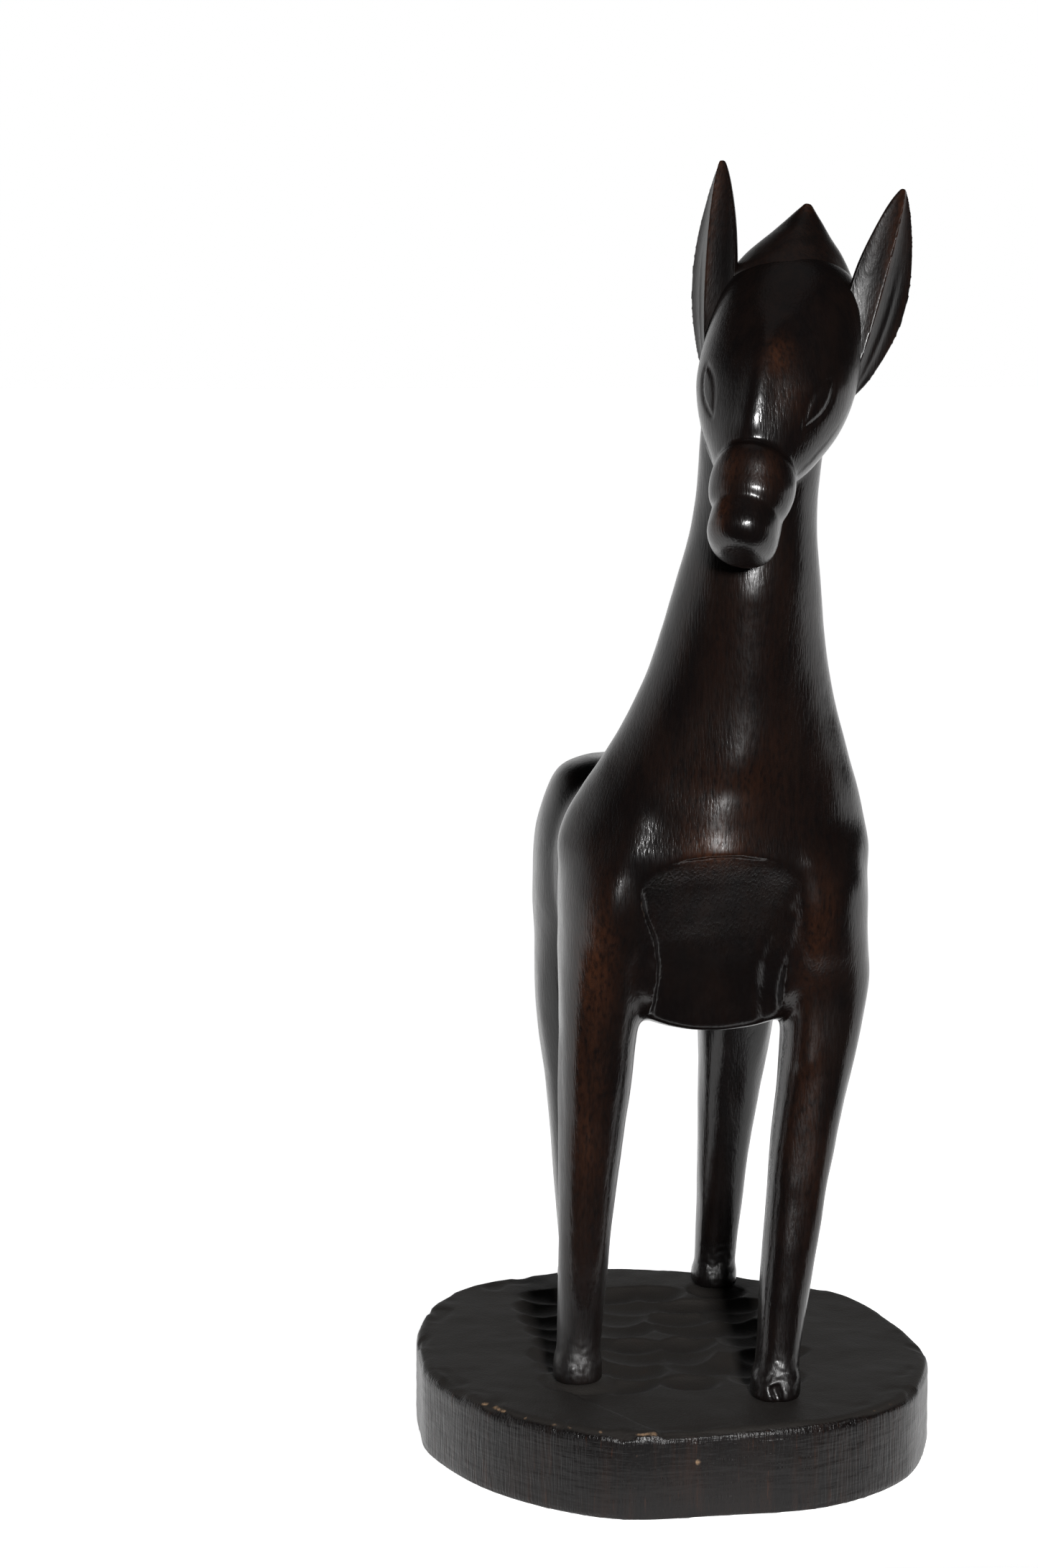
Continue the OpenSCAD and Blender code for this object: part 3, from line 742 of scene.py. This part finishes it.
def paint_figure(mesh):
    """How worn, pale and matte the wood is at each point."""
    p = positions(mesh)
    local = to_head(p)
    drift = 0.5 + 0.5 * waves(p, 7, (1, 1, 0.5), 3.1)
    worn = (
        spot(p, (2.9, -47, 139), (5.5, 6, 3.5)) + 0.35 * spot(p, (7, -46, 150), (13, 8, 12))
        + 0.9 * spot(p, (-21.5, -44, 112), (4.5, 8, 17)) + 0.55 * spot(p, (-22, -36, 78), (4, 7, 26))
        + 0.7 * spot(p, (25.5, -44, 122), (3, 7, 11)) + 0.35 * spot(p, (24, -40, 85), (4, 8, 30))
        + 0.75 * spot(local, (2.6, -15, -5), (2.4, 5, 3.6)) + 0.35 * spot(local, (6, -13, -13), (3, 5, 4))
        + 0.9 * spot(local, (-3.4, -9, LIPS_Z - 1), (1.8, 5, 4))
        + 0.5 * spot(local, (-3, -10, MUZZLE_Z), (3, 5, 4))
        + 0.5 * spot(local, (4.5, -10, MUZZLE_Z), (2.5, 5, 4)) + 0.22 * spot(p, (10, -42, 185), (9, 9, 26))
    )
    paint(mesh, "worn", worn * (0.45 + 0.75 * drift) + 0.05 * drift)
    pale = (
        0.5 * near_line(p, [(5, -47, 161.6), (3.2, -47, 159)], 0.6)
        + 0.4 * near_line(p, [(1.6, -47.5, 157), (-0.1, -47.5, 154.7)], 0.5)
        + 0.9 * near_line(p, [(1.1, -38, 104.6), (2.4, -38, 106), (4.2, -38, 103.2)], 1.2)
        # Painted highlight: the pale lines down the left crease of the chest and its fold stand partly for
        # torn fibres and partly for the glints of the light on that edge.
        + 0.38 * near_line(p, [(-12.4, -45, 131), (-11.2, -43, 125), (-8.6, -41, 118.5)], 0.8)
        + 0.5 * near_line(p, [(-7, -41, 115), (-3, -40.5, 112.8)], 0.6)
        + 0.35 * near_line(p, [(21, -44.5, 130), (18.6, -43, 126), (13.8, -41.5, 119)], 0.7)
        + 0.55 * near_line(p, [(4.5, -68, 221.4), (8, -69, 220.8), (11, -68, 219.6)], 0.5)
    )
    for x, y in FEET.values():
        reach = np.hypot((p[:, 0] - x) / 5.6, (p[:, 1] - y) / 7.0)
        pale += 0.12 * np.exp(-((p[:, 2] - PLINTH_T) / 0.8) ** 2) * (reach < 1.6)
        scuffs = ease(waves(p, 1.3, seed=7.5), -0.1, 0.4)
        pale += 0.34 * spot(p, (x, y - 6.8, PLINTH_T + 5), (3.6, 2.5, 4.0)) * scuffs
    for side, strength in ((1, 0.6), (-1, 0.35)):
        root = np.array([side * 13.5, 1.5, 8])
        seam = [root + (side * -3.5, 0, 11), root + (0, -3, 2), root + (side * 1.2, -5, -7)]
        pale += strength * near_line(local, seam, 1.3)
    paint(mesh, "pale", pale)
    matte = (
        0.25 * spot(p, (6, -42, 122), (15, 5, 13))
        + sum(0.8 * spot(p, (x, y - 6, PLINTH_T + 5), (5, 4, 5)) for x, y in FEET.values())
        + 0.5 * ease(-p[:, 2], -100, -94) * (np.abs(p[:, 1]) < 30)
    )
    paint(mesh, "matte", matte)


def make_figure(finish):
    """Fused from its shells, rubbed smooth where they meet, cut, shaped and painted."""
    blank = fused(joined([
        trunk_shell(), neck_shell(), mane_shell(), tail_shell(), skull_shell(),
        front_leg_shell(FEET["front_left"], 1), front_leg_shell(FEET["front_right"], -1),
        hind_leg_shell(FEET["hind_left"], 1), hind_leg_shell(FEET["hind_right"], -1),
    ]), BLANK_STEP)
    p = positions(blank)
    shoulders = ease(p[:, 2], 112, 122) * (1 - ease(p[:, 2], 160, 175))
    shoulders *= 0.25 + 0.75 * (1 - ease(p[:, 1], -22, -10))
    belly = 0.22 * ease(p[:, 2], 86, 96) * (1 - ease(p[:, 2], 112, 122))
    nape = ease(p[:, 2], 196, 206) * (1 - ease(p[:, 2], 244, 252)) * ease(p[:, 1], -48, -40) * 0.7
    soften(blank, 44, np.maximum(np.maximum(shoulders, belly), nape), keep=False)
    soften(blank, 8)
    cutters = chest_cutters() + hoof_cutters() + mouth_cutters()
    mesh = cut_away(joined_with(blank, muzzle_shells()), [joined([c]) for c in cutters])
    mesh = fused(mesh, FIGURE_STEP)
    soften(mesh, 4)
    p = positions(mesh)
    under_chest = ease(p[:, 2], 88, 93) * (1 - ease(p[:, 2], 138, 145)) * (1 - ease(p[:, 1], -24, -16))
    under_chest *= ease(p[:, 0], -16, -11) * (1 - ease(p[:, 0], 21, 26))
    soften(mesh, 12, under_chest, keep=False)
    crease = ease(p[:, 0], 6, 10) * (1 - ease(p[:, 0], 19, 23))
    soften(mesh, 14, under_chest * crease, keep=False)
    soften(mesh, 8, under_chest * (1 - ease(p[:, 2], 110, 124)), keep=False)
    shape_front(mesh)
    p = positions(mesh)
    legs = 1 - ease(p[:, 2], 84, 104)
    planes = waves(p, 11, seed=2.0) * 0.16 + waves(p, 4.5, seed=9.0) * 0.05
    facets = waves(p, 4.2, (1, 1, 0.12), 5.0) * 0.24 * legs
    flat_foot = ease(p[:, 2], PLINTH_T + 0.2, PLINTH_T + 2)
    push_out(mesh, (planes + facets) * flat_foot)
    carve_eyes(mesh)
    mesh = thinned(mesh, FIGURE_TRIANGLES)
    paint_figure(mesh)
    piece("carved_figure", mesh, finish, "dark_wood", "figure")


def joined_with(mesh, shells):
    """The blank and more closed shells, fused later as one block."""
    extra = joined(shells)
    work = bmesh.new()
    work.from_mesh(mesh)
    work.from_mesh(extra)
    work.to_mesh(mesh)
    work.free()
    bpy.data.meshes.remove(extra)
    return fused(mesh, BLOCK_STEP)


# ---------------------------------------------------------------- ears and crest


def ear_section(t, length, side):
    """One closed section of an ear: t runs from its root to its tip; side is 1 for the left ear."""
    width = EAR_W / 2 * math.sin(math.pi * t ** 0.95) ** 0.8 + 0.5 if 0 < t < 1 else 0.5
    depth = 0.5 + (EAR_T / 2 - 0.5) * math.sin(math.pi * t) ** 0.5 if 0 < t < 1 else 0.5
    angle = np.linspace(0, 2 * np.pi, 96, endpoint=False)
    u, v = np.cos(angle), np.sin(angle)
    # A sharp middle ridge with a hollow on each side, and a second low ridge on the outer half
    ridge = (1 - np.abs(u)) ** 1.7
    second = 0.10 * np.exp(-((u * side - 0.5) / 0.10) ** 2) * math.sin(math.pi * min(t * 1.5, 1))
    front = -depth * (ridge + second)
    y = np.where(v >= 0, depth * v, np.minimum(front, -0.02))
    # The inner half is narrower than the outer
    inner = 1 - 0.30 * (u * side < 0) * ease(t, 0.15, 0.4)
    return np.stack([width * u * inner, y, np.full(len(u), length * t)], 1)


def ear_frame(side):
    root = np.array([side * (HEAD_W / 2 - 2.5), 3, -3])
    turn = turned(EAR_LEAN, side * EAR_SPLAY, 0) @ turned(0, 0, side * EAR_TURN)
    return root, turn


def make_ear(side, length, name, finish, node):
    """Made upright in its own axes, then set on the head."""
    root, turn = ear_frame(side)
    levels = np.concatenate([[0.0, 0.012, 0.03], np.linspace(0.06, 0.95, 60), [0.975, 0.992, 1.0]])
    points, faces = skin([ear_section(t, length, side) for t in levels])
    mesh = fused(joined([(points, faces)]), EAR_STEP)
    soften(mesh, 3)
    push_out(mesh, waves(positions(mesh), 3.4, (1, 1, 0.25), side * 4.0) * 0.13)
    mesh = thinned(mesh, EAR_TRIANGLES)
    p = positions(mesh)
    middle = np.exp(-(p[:, 0] / 0.9) ** 2) * (p[:, 1] < 0) * ease(p[:, 2], 8, 26)
    rim = np.exp(-((np.abs(p[:, 0]) - EAR_W / 2 + 0.6) / 0.8) ** 2)
    worn = 0.45 * middle + 0.15 * rim + 0.15 * ease(p[:, 2], 24, 42)
    inner = -side * p[:, 0]
    rough = 0.6 if side > 0 else 0.3
    root_patch = np.exp(-((p[:, 2] - 14) / 5.0) ** 2) * ease(inner, 1.4, 4.2) * rough
    grooves = near_line(p, [(0.9, -2, 8), (0.7, -3, 22)], 0.5) * 0.3
    set_positions(mesh, from_head(p @ turn.T + root))
    paint(mesh, "worn", worn)
    paint(mesh, "pale", root_patch * 0.85 + grooves)
    paint(mesh, "matte", 0.35 * (p[:, 1] < 0) + root_patch)
    piece(name, mesh, finish, "dark_wood", node)


CREST_W, CREST_D, CREST_H = 13.2, 11.8, 16.0
CREST_AT = np.array([-1.2, -1.4, POLL_Z - 4])
CREST_LEAN = 14


def make_crest(finish):
    """A point that widens into a skirt over the poll."""
    w, d, h = CREST_W, CREST_D, CREST_H
    blank = carve([
        (0, 0, -8, w * 0.7, d * 0.7, 1), (0, 0.3, -4, w * 1.02, d * 1.03, 1),
        (0, 0, -1.5, w, d * 1.03, 1), (0, 0, 1, w * 0.92, d * 0.94, 1.04),
        (0, 0, h * 0.3, w * 0.74, d * 0.72, 1.12), (0, 0, h * 0.65, w * 0.40, d * 0.38, 1.25),
        (0, 0, h, 0.8, 0.9, 1.1),
    ])
    mesh = fused(joined([blank]), CREST_STEP)
    soften(mesh, 6)
    push_out(mesh, waves(positions(mesh), 4, seed=6.0) * 0.12)
    mesh = thinned(mesh, CREST_TRIANGLES)
    p = positions(mesh)
    set_positions(mesh, from_head(p @ turned(CREST_LEAN, 0, 0).T + CREST_AT))
    paint(mesh, "worn", 0.12 + 0.5 * spot(p, (0, -1, h), (2, 2, 3)))
    paint(mesh, "pale", 0.25 * np.exp(-((p[:, 2] - 1.5) / 0.7) ** 2) * (np.abs(p[:, 0]) > 8))
    paint(mesh, "matte", 0.4 * ease(-p[:, 1], 0, 3))
    piece("crest_point", mesh, finish, "dark_wood", "crest")


# ---------------------------------------------------------------- plinth

OVAL = [
    (-57, -6), (-56, 19), (-46.5, 45), (-22, 59), (-4, 61.5), (13, 57), (40, 42), (51, 26),
    (57, -4), (55.5, -21), (46, -43), (27, -57.5), (2, -61), (-17, -61.5), (-33, -53), (-46, -39),
    (-55, -20),
]
PLINTH_W, PLINTH_D = 114.0, 123.0


def plinth_outline(per_side=24):
    """The oval through the places above, scaled to run from -0.5 to 0.5 each way."""
    o = np.array(OVAL, float)
    n = len(o)
    rows = [
        curve(o[i - 1], o[i], o[(i + 1) % n], o[(i + 2) % n], k / per_side)
        for i in range(n) for k in range(per_side)
    ]
    line = np.array(rows)
    low, high = line.min(0), line.max(0)
    return ((line - low) / (high - low) - 0.5)[::-1]


def plinth_ring(z, inset):
    line = plinth_outline() * np.array([PLINTH_W, PLINTH_D])
    length = np.linalg.norm(line, axis=1, keepdims=True)
    line = line * (1 - inset / length)
    return np.column_stack([line, np.full(len(line), z)])


def plinth_shell():
    t = PLINTH_T
    return skin([plinth_ring(0, 0.9), plinth_ring(0.35, 0.3), plinth_ring(0.9, 0.05)]
                + [plinth_ring(z, 0.05) for z in np.linspace(2, t - 2.2, 14)]
                + [plinth_ring(t - 1.3, 0.25), plinth_ring(t - 0.5, 0.9), plinth_ring(t, 1.9)])


GOUGES = {
    "Columns": 4, "Rows": 8, "Across": 14.0, "Along": 9.5, "Spoon Width": 11.0, "Spoon Length": 9.0,
    "Spoon Depth": 4.6, "Tilt": 0.24, "Stray": 3.6, "Seed": 11,
}
GOUGES_AT = np.array([-2, 8, PLINTH_T + 2.85])
BITE_LEAST, BITE_MOST = (0.75, 0.7, 0.9), (1.25, 1.25, 1.06)


def gouge_tree():
    """Rows of scoops as one tool would cut them: a grid of tilted spoons, each a little out of line."""
    tree = bpy.data.node_groups.new("gouge_rows", "GeometryNodeTree")
    for name, value in GOUGES.items():
        kind = "NodeSocketInt" if isinstance(value, int) else "NodeSocketFloat"
        tree.interface.new_socket(name, in_out="INPUT", socket_type=kind)
    tree.interface.new_socket("Wood", in_out="INPUT", socket_type="NodeSocketMaterial")
    tree.interface.new_socket("Geometry", in_out="OUTPUT", socket_type="NodeSocketGeometry")

    def add(kind, links=None, values=None, **settings):
        made = tree.nodes.new(kind)
        for key, value in settings.items():
            setattr(made, key, value)
        for key, value in (values or {}).items():
            made.inputs[key].default_value = value
        for key, source in (links or {}).items():
            tree.links.new(source, made.inputs[key])
        return made

    given = add("NodeGroupInput").outputs

    def span(count, gap):
        """The length of a row with the given number of scoops and the gap between two."""
        gaps = add("ShaderNodeMath", {0: count}, {1: 1}, operation="SUBTRACT").outputs[0]
        return add("ShaderNodeMath", {0: gaps, 1: gap}, operation="MULTIPLY").outputs[0]

    wide, long = span(given["Columns"], given["Across"]), span(given["Rows"], given["Along"])
    grid = add("GeometryNodeMeshGrid", {
        "Size X": wide, "Size Y": long, "Vertices X": given["Columns"], "Vertices Y": given["Rows"]})
    least = add("ShaderNodeMath", {0: given["Stray"]}, {1: -1}, operation="MULTIPLY").outputs[0]
    low = add("ShaderNodeCombineXYZ", {"X": least, "Y": least}, {"Z": -0.35})
    high = add("ShaderNodeCombineXYZ", {"X": given["Stray"], "Y": given["Stray"]}, {"Z": 0.35})
    stray = add("FunctionNodeRandomValue",
                {0: low.outputs[0], 1: high.outputs[0], "Seed": given["Seed"]},
                data_type="FLOAT_VECTOR")
    strewn = add("GeometryNodeSetPosition", {"Geometry": grid.outputs["Mesh"], "Offset": stray.outputs[0]})
    spoon = add("GeometryNodeMeshUVSphere", None, {"Segments": 48, "Rings": 28, "Radius": 1.0})
    lean_low = add("ShaderNodeCombineXYZ", {"X": given["Tilt"]}, {"Y": -0.05, "Z": -0.45})
    lean_high = add("ShaderNodeCombineXYZ", {"X": given["Tilt"]}, {"Y": 0.05, "Z": 0.45})
    lean = add("FunctionNodeRandomValue",
               {0: lean_low.outputs[0], 1: lean_high.outputs[0], "Seed": given["Seed"]},
               data_type="FLOAT_VECTOR")
    even = add("ShaderNodeCombineXYZ", {
        "X": given["Spoon Width"], "Y": given["Spoon Length"], "Z": given["Spoon Depth"]})
    bite = add("FunctionNodeRandomValue", {"Seed": given["Seed"]}, data_type="FLOAT_VECTOR")
    bite.inputs[0].default_value, bite.inputs[1].default_value = BITE_LEAST, BITE_MOST
    size = add("ShaderNodeVectorMath", {0: even.outputs[0], 1: bite.outputs[0]}, operation="MULTIPLY")
    placed = add("GeometryNodeInstanceOnPoints", {
        "Points": strewn.outputs[0], "Instance": spoon.outputs["Mesh"],
        "Rotation": lean.outputs[0], "Scale": size.outputs[0]})
    solid = add("GeometryNodeRealizeInstances", {"Geometry": placed.outputs[0]})
    done = add("GeometryNodeSetMaterial", {"Geometry": solid.outputs[0], "Material": given["Wood"]})
    add("NodeGroupOutput", {"Geometry": done.outputs[0]})
    return tree


def gouge_cutters(finish):
    """The scoops between the feet, as one mesh of overlapping cutters."""
    tree = gouge_tree()
    holder = linked(bpy.data.meshes.new("gouges"), "gouges")
    modifier = holder.modifiers.new("rows", "NODES")
    modifier.node_group = tree
    chosen = {**GOUGES, "Wood": finish}
    for item in tree.interface.items_tree:
        if item.in_out == "INPUT":
            modifier[item.identifier] = chosen[item.name]
    mesh = bpy.data.meshes.new_from_object(
        holder.evaluated_get(bpy.context.evaluated_depsgraph_get()))
    holder.modifiers.remove(modifier)
    bpy.data.objects.remove(holder)
    set_positions(mesh, positions(mesh) + GOUGES_AT)
    return mesh


def off_centre(points):
    """0 in the middle of the plinth, 1 at the ends of its oval."""
    return np.hypot(points[:, 0] / (PLINTH_W / 2), points[:, 1] / (PLINTH_D / 2))


def paint_plinth(mesh):
    """Chipped edges, knife nicks, pale rings round the feet, rubbed patches and the matte top, whose lighter
    colour is partly dust and partly a painted reflection of the backdrop.
    """
    p, n = positions(mesh), directions(mesh)
    top = ease(n[:, 2], 0.5, 0.85)
    edge = np.exp(-((p[:, 2] - PLINTH_T + 0.7) / 0.45) ** 2)
    outer = ease(off_centre(p), 0.93, 0.97)
    left = near_line(p, [(-45, -38, 19), (-35, -48, 19), (-20, -57, 19), (-10, -60.5, 19)], 5.0)
    right = near_line(p, [(27, -57, 19), (38, -49, 19), (47, -41, 19)], 4.0)
    breaks = ease(waves(p, 2.2, seed=1.3) + 0.5 * waves(p, 9, seed=2.6), -0.1, 0.5)
    pale = edge * outer * breaks * (0.62 * left + 0.5 * right + 0.06)
    pale += 0.8 * spot(p, (-1.3, -61, 12.2), (0.9, 4, 0.9)) + 0.5 * spot(p, (-14, -61, 14.2), (0.8, 4, 0.9))
    pale += 0.35 * near_line(p, [(1.2, -61, 16.8), (10, -60.5, 16.6), (19.5, -59, 16.7)], 0.45)
    for x, y in FEET.values():
        reach = np.hypot((p[:, 0] - x) / 5.4, (p[:, 1] - y) / 6.9)
        pale += top * 0.15 * np.exp(-((reach - 1.08) / 0.10) ** 2)
    paint(mesh, "pale", pale)
    worn = 0.5 * near_line(p, [(-1.5, -61, 11), (-1.7, -61, 3)], 1.2)
    worn += 0.25 * (1 - top) * (0.5 + waves(p, 12, seed=4.4))
    rubbed = np.exp(-(np.hypot(p[:, 0] - 2, p[:, 1] + 14) / 15) ** 2)
    worn += 0.55 * top * rubbed * ease(waves(p, 3, seed=8.8), 0, 0.6)
    paint(mesh, "worn", worn)
    # The matte top also takes the lighter top colour, which is partly a painted reflection of the backdrop.
    paint(mesh, "matte", top)


KNIFE_FROM, KNIFE_TO = np.array((-28.0, -28.0)), np.array((-10.0, -59.0))


def make_plinth(finish):
    """A slice of log: gouged on top, dented and chipped, but full and flat under each foot."""
    scoops = fused(gouge_cutters(finish), SCOOP_STEP)
    mesh = cut_away(fused(joined([plinth_shell()]), SLAB_STEP), [scoops])
    mesh = fused(mesh, PLINTH_STEP)
    soften(mesh, 2)
    p, n = positions(mesh), directions(mesh)
    wall = 1 - ease(np.abs(n[:, 2]), 0.4, 0.8)
    dents = waves(p, 14, (1, 1, 0.35), 2.2) * 0.34 * wall
    dents += waves(p, 3.2, (0.5, 0.5, 1.7), 7.7) * 0.10 * wall
    lifted = ease(p[:, 2], 10, PLINTH_T) * (1 - wall)
    dents += (waves(p, 16, seed=3.3) * 0.28 + waves(p, 5, seed=5.5) * 0.10 - 0.22) * lifted
    chips = ease(waves(p, 6.5, seed=6.1), 0.05, 0.55) * np.exp(-((p[:, 2] - PLINTH_T + 0.6) / 1.1) ** 2)
    dents -= 0.55 * chips * ease(off_centre(p), 0.9, 0.96) + 0.3 * wall
    # One long knife stroke lowers the top beside this line, in front of the feet
    run = (KNIFE_TO - KNIFE_FROM) / np.linalg.norm(KNIFE_TO - KNIFE_FROM)
    off = p[:, :2] - KNIFE_FROM
    side, along = off @ np.array((-run[1], run[0])), off @ run
    dents -= 0.75 * ease(side, -0.3, 0.7) * (1 - ease(side, 3, 17)) * ease(along, 0, 8) * lifted
    p = p + n * dents[:, None]
    for x, y in FEET.values():
        under = np.exp(-(np.hypot((p[:, 0] - x) / 7.4, (p[:, 1] - y) / 8.8)) ** 6)
        p[:, 2] += under * (PLINTH_T - p[:, 2]) * (p[:, 2] > PLINTH_T - 3)
    p[:, 2] = np.clip(p[:, 2], 0, PLINTH_T)
    set_positions(mesh, p)
    mesh = thinned(mesh, PLINTH_TRIANGLES)
    paint_plinth(mesh)
    piece("carved_plinth", mesh, finish, "plinth_wood", "base")


# ---------------------------------------------------------------- everything together

EAR_LEFT_L, EAR_RIGHT_L = 45.0, 47.0

set_camera()
wood = carved_wood("dark_carved_wood")
slab_wood = plinth_wood("dark_plinth_wood")
pegs = peg_wood("peg_wood")

make_plinth(slab_wood)
make_figure(wood)
make_ear(1, EAR_LEFT_L, "ear_left", wood, "left_ear")
make_ear(-1, EAR_RIGHT_L, "ear_right", wood, "right_ear")
make_crest(wood)
for name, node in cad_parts.items():
    if name.endswith("_peg"):
        node.data.materials.clear()
        node.data.materials.append(pegs)

make_floor()
set_world()
set_lights()
bpy.context.scene.view_settings.view_transform = "Standard"
